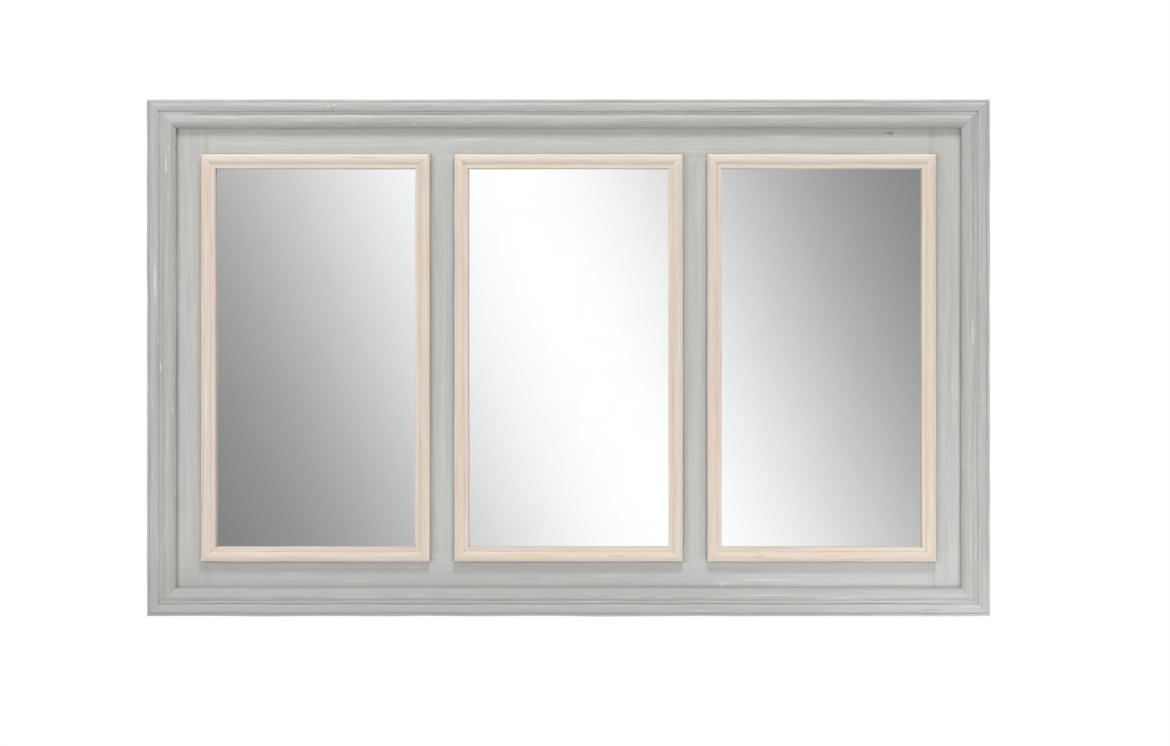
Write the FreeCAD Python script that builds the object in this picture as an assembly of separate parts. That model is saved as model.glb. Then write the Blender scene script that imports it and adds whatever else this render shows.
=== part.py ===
import FreeCAD, Part
import math
import os

# Wall mirror: three mirror panes, each in a pale mitred bead, on a flat field of boards
# inside a mitred grey moulding. Millimetres. X runs to the right, Z up, and the front faces -Y.
# The origin is the middle of the mirror, on the wall plane that the back pads touch.
# A profile is drawn as (inward, forward): inward from the outer edge of the piece, and forward
# from its back.

# Whole mirror
overall_width = 1300.0
overall_height = 797.0

# Outer moulding
mould_width = 43.0
mould_edge_round = 1.6
mould_lip_width = 4.0
mould_lip_height = 31.8
mould_quirk_width = 0.8
mould_quirk_height = 30.9
mould_band_width = 13.1
mould_band_foot_height = 32.4
mould_band_ridge_offset = 4.2
mould_band_height = 33.4
mould_band_end_height = 31.4
mould_groove_width = 1.3
mould_groove_height = 29.6
mould_fillet_width = 4.2
mould_fillet_height = 30.2
mould_cushion_foot_height = 30.0
mould_cushion_ridge_offset = 4.6
mould_cushion_height = 31.6
mould_sight_height = 25.6
rebate_width = 14.0
rebate_height = 20.0

# Field of boards that fills the moulding
field_thickness = 15.0
field_clearance = 0.3

# Field that shows between the beads, and between beads and moulding
field_side_margin = 39.5
field_end_margin = 41.0
field_bead_gap = 38.0
pane_places = {"left": -1, "centre": 0, "right": 1}

# Bead round each pane
bead_width = 22.0
bead_overhang = 10.0
bead_edge_round = 0.8
bead_lip_width = 1.2
bead_lip_height = 8.6
bead_foot_height = 9.0
bead_ridge_offset = 8.0
bead_height = 10.6
bead_inner_foot_height = 8.4
bead_groove_width = 0.7
bead_groove_height = 7.7
bead_inner_lip_width = 6.2
bead_inner_lip_height = 8.1

# Mirror glass and the board behind it
glass_thickness = 4.0
glass_clearance = 0.3
backing_thickness = 3.0

# Flat steel points that hold glass and board in their opening
point_thickness = 0.6
point_width = 9.5
point_in_wood = 7.0
point_over_board = 7.0
points_on_long_side = 3
points_on_short_side = 2

# Dowels between the boards of the field
dowel_radius = 4.0
dowel_length = 40.0
dowel_spacing = 30.0
dowel_end_room = 0.4
dowels_per_joint = 2

# Screws that hold the field in the moulding
field_screw_radius = 2.0
field_screw_in_moulding = 6.5
field_screw_tip = 3.0
field_screw_head_radius = 4.0
field_screw_head_height = 2.4
field_screw_end_inset = 60.0
field_screws_on_long_side = 5
field_screws_on_short_side = 3

# V-shaped nails across the mitres, driven in from the back
corner_nail_leg = 7.0
corner_nail_thickness = 0.6
corner_nail_height = 10.0
corner_nail_inset_shares = (0.25, 0.6)

# Hangers on the back of the side mouldings: a strap with a curled end that carries a D-ring
hanger_top_drop = 168.5
strap_thickness = 1.2
strap_width = 14.0
strap_length = 50.0
strap_curl_end_degrees = 290.0
strap_first_hole_drop = 26.0
strap_second_hole_drop = 42.0
strap_hole_clearance = 0.2
ring_wire_radius = 1.5
ring_half_width = 11.0
ring_corner_radius = 3.0
ring_arm_length = 3.0
hanger_screw_radius = 1.75
hanger_screw_length = 17.0
hanger_screw_tip = 3.0
hanger_screw_head_radius = 3.5
hanger_screw_head_height = 2.0

# Cross recess in the screw heads
recess_width = 0.9
recess_length = 3.8
recess_depth = 1.2

# Felt pads on the back near the corners
pad_thickness = 6.0
pad_radius = 6.5
pad_edge_round = 0.8
pad_corner_inset = 46.0

# Fits
running_clearance = 0.05
hole_clearance = 0.05
cut_overrun = 1.0

# Sizes that follow from the ones above
half_width = overall_width / 2
half_height = overall_height / 2
mould_land = mould_width - rebate_width
pane_span = overall_width - 2 * (mould_width + field_side_margin)
bead_frame_width = (pane_span - (len(pane_places) - 1) * field_bead_gap) / len(pane_places)
bead_frame_height = overall_height - 2 * (mould_width + field_end_margin)
pane_pitch = bead_frame_width + field_bead_gap
sight_width = bead_frame_width - 2 * bead_width
sight_height = bead_frame_height - 2 * bead_width
field_screw_edge_inset = rebate_width / 2
hanger_edge_inset = mould_land / 2
hanger_pivot_height = half_height - hanger_top_drop
frame_back_y = -pad_thickness
field_front_y = frame_back_y - rebate_height
field_back_y = field_front_y + field_thickness
field_edge_inset = mould_land + field_clearance
field_half_width = half_width - field_edge_inset
field_half_height = half_height - field_edge_inset
opening_width = sight_width + 2 * bead_overhang
opening_height = sight_height + 2 * bead_overhang
half_opening_width = opening_width / 2
half_opening_height = opening_height / 2
glass_back_y = field_front_y + glass_thickness
backing_back_y = glass_back_y + backing_thickness
point_back_y = backing_back_y + point_thickness
ring_centre_y = frame_back_y + strap_thickness + running_clearance + ring_wire_radius

sides = ("top", "right", "bottom", "left")
quarter_turn_degrees = 90.0
y_axis = FreeCAD.Vector(0, 1, 0)
x_axis = FreeCAD.Vector(1, 0, 0)
origin = FreeCAD.Vector(0, 0, 0)


def point_3d(x, y, z):
    return FreeCAD.Vector(x, y, z)


def box_between(x_range, y_range, z_range):
    """A box that spans three ranges, each given lowest first or highest first."""
    low = [min(pair) for pair in (x_range, y_range, z_range)]
    high = [max(pair) for pair in (x_range, y_range, z_range)]
    size = [b - a for a, b in zip(low, high)]
    return Part.makeBox(size[0], size[1], size[2], point_3d(low[0], low[1], low[2]))


def outline_edges(start, steps, place):
    """Edges of a closed outline: a step of one point is a line, and of two an arc and its end."""
    edges = []
    here = start
    for step in steps:
        there = step[-1]
        if len(step) == 1:
            edges.append(Part.LineSegment(place(here), place(there)).toShape())
        else:
            edges.append(Part.Arc(place(here), place(step[0]), place(there)).toShape())
        here = there
    edges.append(Part.LineSegment(place(here), place(start)).toShape())
    return edges


def arc_point(centre, radius, degrees):
    """The point of a circle at an angle, in the plane of its two coordinates."""
    angle = math.radians(degrees)
    return (centre[0] + radius * math.cos(angle), centre[1] + radius * math.sin(angle))


def dome_middle(foot, ridge):
    """The middle of the arc that rises from a foot and is level at a ridge."""
    run = foot[0] - ridge[0]
    rise = ridge[1] - foot[1]
    radius = (run * run + rise * rise) / (2 * rise)
    half_angle = math.atan2(abs(run), radius - rise) / 2
    sideways = math.copysign(radius * math.sin(half_angle), run)
    return (ridge[0] + sideways, ridge[1] - radius + radius * math.cos(half_angle))


def eased_corner(corner, radius):
    """The middle and end of a quarter round on a front outer corner, coming up from the back."""
    centre = (corner[0] + radius, corner[1] - radius)
    return (arc_point(centre, radius, 135), (corner[0] + radius, corner[1]))


def mould_outline():
    """Section of the outer moulding: lip, quirk, wide band, fillet between two grooves, cushion."""
    band_start = mould_lip_width + mould_quirk_width
    band_end = band_start + mould_band_width
    fillet_start = band_end + mould_groove_width
    fillet_end = fillet_start + mould_fillet_width
    cushion_start = fillet_end + mould_groove_width
    band_foot = (band_start, mould_band_foot_height)
    band_ridge = (band_start + mould_band_ridge_offset, mould_band_height)
    band_far_foot = (band_end, mould_band_end_height)
    cushion_foot = (cushion_start, mould_cushion_foot_height)
    cushion_ridge = (cushion_start + mould_cushion_ridge_offset, mould_cushion_height)
    sight = (mould_width, mould_sight_height)
    steps = [
        ((0, mould_lip_height - mould_edge_round),),
        eased_corner((0, mould_lip_height), mould_edge_round),
        ((mould_lip_width, mould_lip_height),),
        ((mould_lip_width, mould_quirk_height),),
        ((band_start, mould_quirk_height),),
        (band_foot,),
        (dome_middle(band_foot, band_ridge), band_ridge),
        (dome_middle(band_far_foot, band_ridge), band_far_foot),
        ((band_end, mould_groove_height),),
        ((fillet_start, mould_groove_height),),
        ((fillet_start, mould_fillet_height),),
        ((fillet_end, mould_fillet_height),),
        ((fillet_end, mould_groove_height),),
        ((cushion_start, mould_groove_height),),
        (cushion_foot,),
        (dome_middle(cushion_foot, cushion_ridge), cushion_ridge),
        (dome_middle(sight, cushion_ridge), sight),
        ((mould_width, rebate_height),),
        ((mould_land, rebate_height),),
        ((mould_land, 0),),
    ]
    return (0, 0), steps


def bead_outline():
    """Section of the bead: narrow lip, wide rounded band, groove and inner lip."""
    foot = (bead_lip_width, bead_foot_height)
    ridge = (bead_ridge_offset, bead_height)
    lip_start = bead_width - bead_inner_lip_width
    groove_start = lip_start - bead_groove_width
    inner_foot = (groove_start, bead_inner_foot_height)
    steps = [
        ((0, bead_lip_height - bead_edge_round),),
        eased_corner((0, bead_lip_height), bead_edge_round),
        ((bead_lip_width, bead_lip_height),),
        (foot,),
        (dome_middle(foot, ridge), ridge),
        (dome_middle(inner_foot, ridge), inner_foot),
        ((groove_start, bead_groove_height),),
        ((lip_start, bead_groove_height),),
        ((lip_start, bead_inner_lip_height),),
        ((bead_width, bead_inner_lip_height),),
        ((bead_width, 0),),
    ]
    return (0, 0), steps


def mitred_bar(outline, bar_width, bar_height, back_y, length):
    """A bar along X with its outer edge at Z = 0 and both ends mitred."""
    start, steps = outline

    def place(spot):
        return point_3d(-length / 2, back_y - spot[1], -spot[0])

    section = Part.Face(Part.Wire(outline_edges(start, steps, place)))
    bar = section.extrude(point_3d(length, 0, 0))
    outer = length / 2 + cut_overrun
    inner = length / 2 - bar_width - cut_overrun
    corners = [(-outer, cut_overrun), (outer, cut_overrun),
               (inner, -bar_width - cut_overrun), (-inner, -bar_width - cut_overrun)]
    start_y = back_y + cut_overrun
    ring = [point_3d(x, start_y, z) for x, z in corners]
    prism = Part.Face(Part.makePolygon(ring + ring[:1])).extrude(
        point_3d(0, -bar_height - 2 * cut_overrun, 0))
    return bar.common(prism)


def on_side(shape, side, half_across, half_up, centre_x):
    """Moves a shape made for the top side of a rectangle, edge at Z = 0, to one of its sides."""
    placed = shape.copy()
    turns = sides.index(side)
    reach = half_up if side in ("top", "bottom") else half_across
    placed.translate(point_3d(0, 0, reach))
    placed.rotate(origin, y_axis, turns * quarter_turn_degrees)
    placed.translate(point_3d(centre_x, 0, 0))
    return placed


def side_length(side, across, up):
    return across if side in ("top", "bottom") else up


def spread(count, span):
    """Places that share a span evenly, about its middle."""
    return [span * ((step + 0.5) / count - 0.5) for step in range(count)]


def pane_centre(pane):
    return pane_places[pane] * pane_pitch


def cylinder_along(radius, start, reach):
    """A cylinder from a start point along a reach vector."""
    return Part.makeCylinder(radius, reach.Length, start, reach)


def screw(radius, length, tip, head_radius, head_height):
    """A pan-head screw along Y: its head on +Y and the face under the head at Y = 0."""
    rim = (head_radius, 0)
    crown = (0, head_height)
    steps = [
        ((radius, tip - length),),
        ((radius, 0),),
        (rim,),
        (dome_middle(rim, crown), crown),
    ]
    edges = outline_edges((0, -length), steps, lambda spot: point_3d(spot[0], spot[1], 0))
    body = Part.Face(Part.Wire(edges)).revolve(origin, y_axis, 4 * quarter_turn_degrees)
    depth = (head_height - recess_depth, head_height + cut_overrun)
    wide = (-recess_length / 2, recess_length / 2)
    thin = (-recess_width / 2, recess_width / 2)
    slots = [box_between(wide, depth, thin), box_between(thin, depth, wide)]
    return body.cut(slots[0].fuse(slots[1]))


def moved(shape, x, y, z):
    placed = shape.copy()
    placed.translate(point_3d(x, y, z))
    return placed


def cut_all(shape, cutters):
    """Takes away each cutter whose box meets the shape's box."""
    near = [cutter for cutter in cutters if shape.BoundBox.intersect(cutter.BoundBox)]
    return shape.cut(near) if near else shape


def corner_nail(inset, across, up, grow):
    """A V nail at a corner: two legs along the mouldings from a point on the mitre."""
    x = across * (half_width - inset)
    z = up * (half_height - inset)
    half = corner_nail_thickness / 2 + grow
    leg = corner_nail_leg + grow
    depth = (frame_back_y + (cut_overrun if grow else 0), frame_back_y - corner_nail_height - grow)
    level = box_between((x + across * half, x - across * leg), depth, (z - half, z + half))
    upright = box_between((x - half, x + half), depth, (z + up * half, z - up * leg))
    return level.fuse(upright).removeSplitter()


def corner_nails(grow):
    return [corner_nail(share * mould_land, across, up, grow)
            for across in (-1, 1) for up in (-1, 1) for share in corner_nail_inset_shares]


def field_screw_places():
    """Middle of each field screw, near the field's outer edge."""
    far_z = field_half_height - field_screw_edge_inset
    far_x = field_half_width - field_screw_edge_inset
    long_span = 2 * (field_half_width - field_screw_end_inset)
    short_span = 2 * (field_half_height - field_screw_end_inset)
    level = spread(field_screws_on_long_side, long_span)
    upright = spread(field_screws_on_short_side, short_span)
    return ([(x, z) for x in level for z in (-far_z, far_z)]
            + [(x, z) for z in upright for x in (-far_x, far_x)])


def field_screws():
    one = screw(field_screw_radius, field_thickness + field_screw_in_moulding, field_screw_tip,
                field_screw_head_radius, field_screw_head_height)
    return [moved(one, x, field_back_y, z) for x, z in field_screw_places()]


def field_screw_holes():
    """Round holes through the field and into the moulding."""
    reach = point_3d(0, -field_thickness - field_screw_in_moulding - cut_overrun - hole_clearance, 0)
    return [cylinder_along(field_screw_radius + hole_clearance,
                           point_3d(x, field_back_y + cut_overrun, z), reach)
            for x, z in field_screw_places()]


def stile_edge():
    """Distance from the middle of the mirror to the inner edge of a stile."""
    return pane_pitch + half_opening_width


def field_boards():
    """Two stiles of full height, two rails between them, and two muntins between the rails."""
    depth = (field_front_y, field_back_y)
    high = (-field_half_height, field_half_height)
    top = (half_opening_height, field_half_height)
    between = (-half_opening_height, half_opening_height)
    rail = (-stile_edge(), stile_edge())
    boards = {
        "field_left_stile": box_between((-field_half_width, -stile_edge()), depth, high),
        "field_right_stile": box_between((stile_edge(), field_half_width), depth, high),
        "field_top_rail": box_between(rail, depth, top),
        "field_bottom_rail": box_between(rail, depth, (-top[0], -top[1])),
    }
    inner = pane_pitch - half_opening_width
    for name, across in (("left", -1), ("right", 1)):
        span = (across * half_opening_width, across * inner)
        boards["field_" + name + "_muntin"] = box_between(span, depth, between)
    return boards


def dowel_lines():
    """Middle point and direction of each dowel."""
    middle_y = (field_front_y + field_back_y) / 2
    rail_z = (half_opening_height + field_half_height) / 2
    muntin_x = pane_pitch / 2
    steps = spread(dowels_per_joint, dowels_per_joint * dowel_spacing)
    lines = []
    for across in (-1, 1):
        for up in (-1, 1):
            for step in steps:
                lines.append((point_3d(across * stile_edge(), middle_y, up * rail_z + step),
                              point_3d(1, 0, 0)))
                lines.append((point_3d(across * muntin_x + step, middle_y, up * half_opening_height),
                              point_3d(0, 0, 1)))
    return lines


def dowels(grow, end_room):
    """Dowels, or the holes for them when they are given room."""
    made = []
    for middle, way in dowel_lines():
        half = way * (dowel_length / 2 + end_room)
        made.append(cylinder_along(dowel_radius + grow, middle - half, half * 2))
    return made


def opening_points(grow):
    """Flat steel points round the three openings, or the slots for them when they are grown."""
    outward = point_in_wood + grow
    thick = (backing_back_y - grow, point_back_y + grow)
    flat = box_between((-point_width / 2 - grow, point_width / 2 + grow), thick,
                       (-point_over_board, outward))
    made = []
    for pane in pane_places:
        for side in sides:
            long_side = side in ("left", "right")
            count = points_on_long_side if long_side else points_on_short_side
            for step in spread(count, side_length(side, opening_width, opening_height)):
                made.append(on_side(moved(flat, step, 0, 0), side, half_opening_width,
                                    half_opening_height, pane_centre(pane)))
    return made


def outer_mouldings():
    outline = mould_outline()
    bars = {}
    for side in sides:
        length = side_length(side, overall_width, overall_height)
        bar = mitred_bar(outline, mould_width, mould_band_height, frame_back_y, length)
        bars["outer_" + side + "_moulding"] = on_side(bar, side, half_width, half_height, 0)
    return bars


def pane_beads():
    outline = bead_outline()
    half_across = bead_frame_width / 2
    half_up = bead_frame_height / 2
    beads = {}
    for pane in pane_places:
        for side in sides:
            length = 2 * side_length(side, half_across, half_up)
            bar = mitred_bar(outline, bead_width, bead_height, field_front_y, length)
            beads[pane + "_pane_" + side + "_bead"] = on_side(
                bar, side, half_across, half_up, pane_centre(pane))
    return beads


def pane_sheets():
    """Mirror glass behind the beads, and the hardboard behind each glass."""
    sheets = {}
    half_across = half_opening_width - glass_clearance
    half_up = half_opening_height - glass_clearance
    for pane in pane_places:
        x = pane_centre(pane)
        span = (x - half_across, x + half_across)
        high = (-half_up, half_up)
        sheets[pane + "_mirror_glass"] = box_between(span, (field_front_y, glass_back_y), high)
        sheets[pane + "_backing_board"] = box_between(span, (glass_back_y, backing_back_y), high)
    return sheets


def hanger_x(across):
    return across * (half_width - hanger_edge_inset)


def hanger_strap():
    """A flat strap whose top end curls round the ring's bar, with the bar's axis at Z = 0."""
    outer = strap_thickness + running_clearance + ring_wire_radius
    inner = outer - strap_thickness
    centre = (outer, 0)
    start_degrees = 2 * quarter_turn_degrees
    end = start_degrees - strap_curl_end_degrees
    middle = start_degrees - strap_curl_end_degrees / 2
    steps = [
        ((0, 0),),
        (arc_point(centre, outer, middle), arc_point(centre, outer, end)),
        (arc_point(centre, inner, end),),
        (arc_point(centre, inner, middle), (strap_thickness, 0)),
        ((strap_thickness, -strap_length),),
    ]

    def place(spot):
        return point_3d(-strap_width / 2, frame_back_y + spot[0], spot[1])

    section = Part.Face(Part.Wire(outline_edges((0, -strap_length), steps, place)))
    strap = section.extrude(point_3d(strap_width, 0, 0))
    start = point_3d(0, frame_back_y - cut_overrun, 0)
    through = point_3d(0, strap_thickness + 2 * cut_overrun, 0)
    for drop in (strap_first_hole_drop, strap_second_hole_drop):
        strap = strap.cut(cylinder_along(hanger_screw_radius + strap_hole_clearance,
                                         start - point_3d(0, 0, drop), through))
    end_radius = strap_width / 2
    end_z = end_radius - strap_length
    beyond = box_between((-strap_width, strap_width), (start.y, start.y + through.y),
                         (end_z, -strap_length - cut_overrun))
    round_end = cylinder_along(end_radius, start + point_3d(0, 0, end_z), through)
    return strap.cut(beyond.cut(round_end))


def hanger_ring():
    """A D-shaped ring of round wire that hangs from its bar, with the bar's axis at Z = 0."""
    bar_half = ring_half_width - ring_corner_radius
    arm_end = -ring_corner_radius - ring_arm_length
    right_corner = (bar_half, -ring_corner_radius)
    left_corner = (-bar_half, -ring_corner_radius)
    steps = [
        ((bar_half, 0),),
        (arc_point(right_corner, ring_corner_radius, 45), (ring_half_width, -ring_corner_radius)),
        ((ring_half_width, arm_end),),
        ((0, arm_end - ring_half_width), (-ring_half_width, arm_end)),
        ((-ring_half_width, -ring_corner_radius),),
        (arc_point(left_corner, ring_corner_radius, 135), (-bar_half, 0)),
    ]

    def place(spot):
        return point_3d(spot[0], ring_centre_y, spot[1])

    path = Part.Wire(outline_edges((0, 0), steps, place))
    circle = Part.Circle(point_3d(0, ring_centre_y, 0), x_axis, ring_wire_radius)
    section = Part.Wire([circle.toShape()])
    return path.makePipeShell([section], True, False)


def hanger_screw_places():
    return [(hanger_x(across), hanger_pivot_height - drop) for across in (-1, 1)
            for drop in (strap_first_hole_drop, strap_second_hole_drop)]


def hanger_screws():
    one = screw(hanger_screw_radius, hanger_screw_length, hanger_screw_tip,
                hanger_screw_head_radius, hanger_screw_head_height)
    return [moved(one, x, frame_back_y + strap_thickness, z) for x, z in hanger_screw_places()]


def hanger_screw_holes():
    depth = hanger_screw_length - strap_thickness + cut_overrun + hole_clearance
    return [cylinder_along(hanger_screw_radius + hole_clearance,
                           point_3d(x, frame_back_y + cut_overrun, z), point_3d(0, -depth, 0))
            for x, z in hanger_screw_places()]


def wall_pads():
    """Round felt pads stuck to the back, with the edge at the wall eased."""
    steps = [
        ((pad_radius, -pad_thickness),),
        ((pad_radius, -pad_edge_round),),
        (arc_point((pad_radius - pad_edge_round, -pad_edge_round), pad_edge_round, 45),
         (pad_radius - pad_edge_round, 0)),
        ((0, 0),),
    ]
    edges = outline_edges((0, -pad_thickness), steps, lambda spot: point_3d(spot[0], spot[1], 0))
    pad = Part.Face(Part.Wire(edges)).revolve(origin, y_axis, 4 * quarter_turn_degrees)
    return [moved(pad, hanger_x(across), 0, up * (half_height - pad_corner_inset))
            for across in (-1, 1) for up in (-1, 1)]


def write_node(name, shape):
    shape.exportStep(os.path.join("parts", name + ".step"))
    print(name, len(shape.Solids), "solid", round(shape.Volume), "mm3", shape.isValid())


def main():
    os.makedirs("parts", exist_ok=True)
    nail_slots = corner_nails(hole_clearance)
    screw_holes = field_screw_holes()
    hanger_holes = hanger_screw_holes()
    point_slots = opening_points(hole_clearance)
    dowel_holes = dowels(hole_clearance, dowel_end_room)
    for name, bar in outer_mouldings().items():
        write_node(name, cut_all(bar, nail_slots + screw_holes + hanger_holes))
    for name, board in field_boards().items():
        write_node(name, cut_all(board, screw_holes + point_slots + dowel_holes))
    for name, bead in pane_beads().items():
        write_node(name, bead)
    for name, sheet in pane_sheets().items():
        write_node(name, sheet)
    strap = hanger_strap()
    ring = hanger_ring()
    for name, across in (("left", -1), ("right", 1)):
        write_node(name + "_hanger_strap", moved(strap, hanger_x(across), 0, hanger_pivot_height))
        write_node(name + "_hanger_ring", moved(ring, hanger_x(across), 0, hanger_pivot_height))
    write_node("glazing_points", Part.makeCompound(opening_points(0)))
    write_node("field_dowels", Part.makeCompound(dowels(0, 0)))
    write_node("field_screws", Part.makeCompound(field_screws()))
    write_node("corner_nails", Part.makeCompound(corner_nails(0)))
    write_node("hanger_screws", Part.makeCompound(hanger_screws()))
    write_node("wall_pads", Part.makeCompound(wall_pads()))


main()
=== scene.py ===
import math

import bpy
import numpy as np
from bpy.props import FloatProperty, FloatVectorProperty, IntProperty, PointerProperty
from bpy.types import Operator, Panel, PropertyGroup
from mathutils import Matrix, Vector


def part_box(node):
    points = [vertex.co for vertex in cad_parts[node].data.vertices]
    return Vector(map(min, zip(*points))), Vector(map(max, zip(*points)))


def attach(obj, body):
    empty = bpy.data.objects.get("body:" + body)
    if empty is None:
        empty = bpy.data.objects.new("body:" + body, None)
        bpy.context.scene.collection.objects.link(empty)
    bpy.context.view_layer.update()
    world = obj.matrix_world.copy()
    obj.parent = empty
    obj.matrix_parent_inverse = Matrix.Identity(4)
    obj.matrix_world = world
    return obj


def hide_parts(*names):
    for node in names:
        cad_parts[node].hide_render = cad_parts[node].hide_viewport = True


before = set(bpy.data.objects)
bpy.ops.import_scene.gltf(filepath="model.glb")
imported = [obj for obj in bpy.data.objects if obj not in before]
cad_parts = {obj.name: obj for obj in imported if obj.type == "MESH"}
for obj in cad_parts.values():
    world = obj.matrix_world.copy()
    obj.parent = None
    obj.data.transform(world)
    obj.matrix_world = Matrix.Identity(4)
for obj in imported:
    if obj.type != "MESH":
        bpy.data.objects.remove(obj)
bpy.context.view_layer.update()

bl_info = {
    "name": "Three-pane wall mirror",
    "version": (1, 0, 0),
    "blender": (4, 5, 0),
    "location": "3D View > Sidebar > Mirror",
    "description": "Dresses a wall mirror: washed grey mouldings, limed beads, silvered panes and hardware",
    "category": "Object",
}

# Places that the packed model gives, in metres: X to the right, Z up, and the front faces -Y
MM = 0.001
WHITE = (1.0, 1.0, 1.0, 1.0)
SIDES = ("top", "right", "bottom", "left")
PANES = ("left", "centre", "right")
TOP_LOW, TOP_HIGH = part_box("outer_top_moulding")
SIGHT_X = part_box("outer_right_moulding")[0].x
BEAD_LOW, BEAD_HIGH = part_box("centre_pane_top_bead")
PANE_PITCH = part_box("right_pane_top_bead")[0].x - BEAD_LOW.x
GLASS_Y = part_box("centre_mirror_glass")[0].y
FIELD_BACK_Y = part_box("field_top_rail")[1].y

# The photograph's frame, and where it shows the mirror's middle
IMAGE_WIDTH_PX = 1170
IMAGE_HEIGHT_PX = 746
MIRROR_WIDTH_PX = 843.2
MIRROR_MIDDLE_PX = (568.4, 357.8)

# Single marks that the photograph shows, as (across, up, half width, half height) in millimetres.
# The dark ones on the mouldings along the top fillet, in the bottom's outer groove and across the top band's
# right third are painted shade; the last of them run into a line along the fillet and one in the groove.
PALE_MARKS_ON_RAILS = (
    (-238, -324, 16, 1.8), (-426, -333, 26, 2), (-432, -342.6, 14, 1.6), (244, -348, 22, 2),
    (236, -351, 6, 3.2), (330, 343, 36, 2.6), (-330, -345, 40, 1.5), (60, -338, 30, 1.6),
    (300, -344, 46, 1.8), (-150, 338, 44, 2))
DARK_MARKS_ON_RAILS = ((499, 347.4, 5, 5), (494, 348, 10, 2.5), (-34.5, 347, 12, 1.2), (-60, -341, 34, 1.4))
PALE_MARKS_ON_MOULDINGS = (
    (-232.7, -367, 20, 2), (95, -368.8, 30, 2.2), (146, -368.8, 20, 1.8), (201.4, -390, 12, 3.6),
    (-370, 388, 3, 2.4), (-361, 390, 4, 1.4), (-620.7, 297, 2.2, 18), (585, -354, 14, 1.8),
    (-330, -369, 60, 1.6), (300, -366, 70, 1.8), (420, -371, 44, 1.6), (-480, -372, 40, 1.5),
    (40, -376.5, 26, 1.5), (-629, -14, 2, 9), (-637, 120, 1.8, 40), (624, 40, 1.6, 30))
DARK_MARKS_AND_SHADE_ON_MOULDINGS = (
    (-366.5, 391.5, 1.6, 3), (-364, 384, 1.5, 4), (-320, 376.5, 60, 1), (-563, 376.2, 24, 1.8),
    # The second of these is painted shade across the top band's right third; the lines below are painted
    # shade along the top fillet and in the bottom's outer groove
    (560, -388, 20, 1.4), (400, 384.5, 230, 3.2),
    *((across, *line) for across in (-450, -225, 0, 225, 450)
      for line in ((376.6, 176, 3), (-379.4, 176, 1.6))))
BROWN_MARKS_ON_BEADS = (
    (291.9, -307, 16, 1.1), (296, -304.5, 10, 0.8), (74.9, -306, 20, 1.8), (410, -306, 14, 1.2),
    (-161, 299.6, 3.4, 4.2), (-318, 309, 26, 1))
CREAM_MARKS_ON_BEADS = ((-161, 299.6, 2, 2.7), (150, 308, 40, 1.4), (-480, -303, 34, 1.3))

# Soft lamps as (place, target, size), in metres
LAMPS = {
    "key_strip": ((0.6, -2.1, 4.3), (0, 0, 0), (1.4, 0.75)),
    "left_fill": ((-2.4, -2.4, 0.4), (0, 0, 0), (1.6, 1.6)),
    "back_fill": ((0.4, 3.2, 0.9), (0, 0, 0), (2.0, 1.2)),
    "low_fill": ((0.95, -0.75, -0.8), (0.4, 0, -0.3), (0.5, 0.3)),
}


def linear(hex_colour):
    """Linear RGBA of an sRGB hex colour."""
    channels = np.array([int(hex_colour[i:i + 2], 16) for i in (1, 3, 5)]) / 255
    curved = ((channels + 0.055) / 1.055) ** 2.4
    straight = channels / 12.92
    return (*np.where(channels > 0.04045, curved, straight).tolist(), 1.0)


def number(name, description, value, **settings):
    """A number property."""
    return FloatProperty(name=name, description=description, default=value, **settings)


def share(name, description, value):
    """A share property from 0 to 1."""
    return number(name, description, value, min=0.0, max=1.0, subtype="FACTOR")


def length(name, description, size):
    """A length property in metres, from its size in millimetres."""
    return number(name, description, size * MM, min=0.0, precision=5, subtype="DISTANCE", unit="LENGTH")


def distance(name, description, size, **limits):
    """A property in metres for places round the studio."""
    return number(name, description, size, subtype="DISTANCE", unit="LENGTH", **limits)


def power(name, description, watts):
    """A lamp's power property."""
    return number(name, description, watts, min=0.0, subtype="POWER", unit="POWER")


def colour(name, description, hex_colour):
    """A colour property from an sRGB hex value."""
    return FloatVectorProperty(name=name, description=description, size=4, min=0.0, max=1.0,
                               default=linear(hex_colour), subtype="COLOR")


class MouldingSizes(PropertyGroup):
    """Section of the outer moulding, with heights from its back."""

    edge_round: length("Edge round", "Radius of the eased outer front edge", 1.6)
    lip_width: length("Lip width", "Flat lip along the outer edge", 4.0)
    lip_height: length("Lip height", "Front of the lip", 31.8)
    quirk_width: length("Quirk width", "Narrow groove between lip and band", 0.8)
    quirk_height: length("Quirk height", "Floor of that groove", 30.9)
    band_width: length("Band width", "Wide rounded member", 13.1)
    band_foot_height: length("Band foot height", "Where the band starts", 32.4)
    band_ridge_offset: length("Band ridge offset", "From the band's foot to its ridge", 4.2)
    band_end_height: length("Band end height", "Where the band ends", 31.4)
    groove_width: length("Groove width", "Each groove beside the fillet", 1.3)
    groove_height: length("Groove height", "Floor of these grooves", 29.6)
    fillet_width: length("Fillet width", "Flat fillet between the two grooves", 4.2)
    fillet_height: length("Fillet height", "Front of the fillet", 30.2)
    cushion_foot_height: length("Cushion foot height", "Where the cushion starts", 30.0)
    cushion_ridge_offset: length("Cushion ridge offset", "From the cushion's foot to its ridge", 4.6)
    cushion_height: length("Cushion height", "Ridge of the cushion", 31.6)
    sight_height: length("Sight height", "Front of the inner edge", 25.6)
    rebate_width: length("Rebate width", "Step at the back that holds the field", 14.0)
    rebate_height: length("Rebate height", "Depth of that step from the back", 20.0)
    softening: length("Softening", "How far coats of wash round the edges", 0.22)
    waviness: length("Waviness", "How far hand finishing moves the lines", 0.22)
    level_fill: share("Level fill", "How far wash fills the grooves at top and bottom", 0.45)
    upright_fill: share("Upright fill", "How far wash fills the grooves at the sides", 0.8)
    outline_step: length("Outline step", "Mesh spacing round the section where it is flat", 2.4)
    ring_step: length("Ring step", "Mesh spacing along the bar", 4.0)


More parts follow.
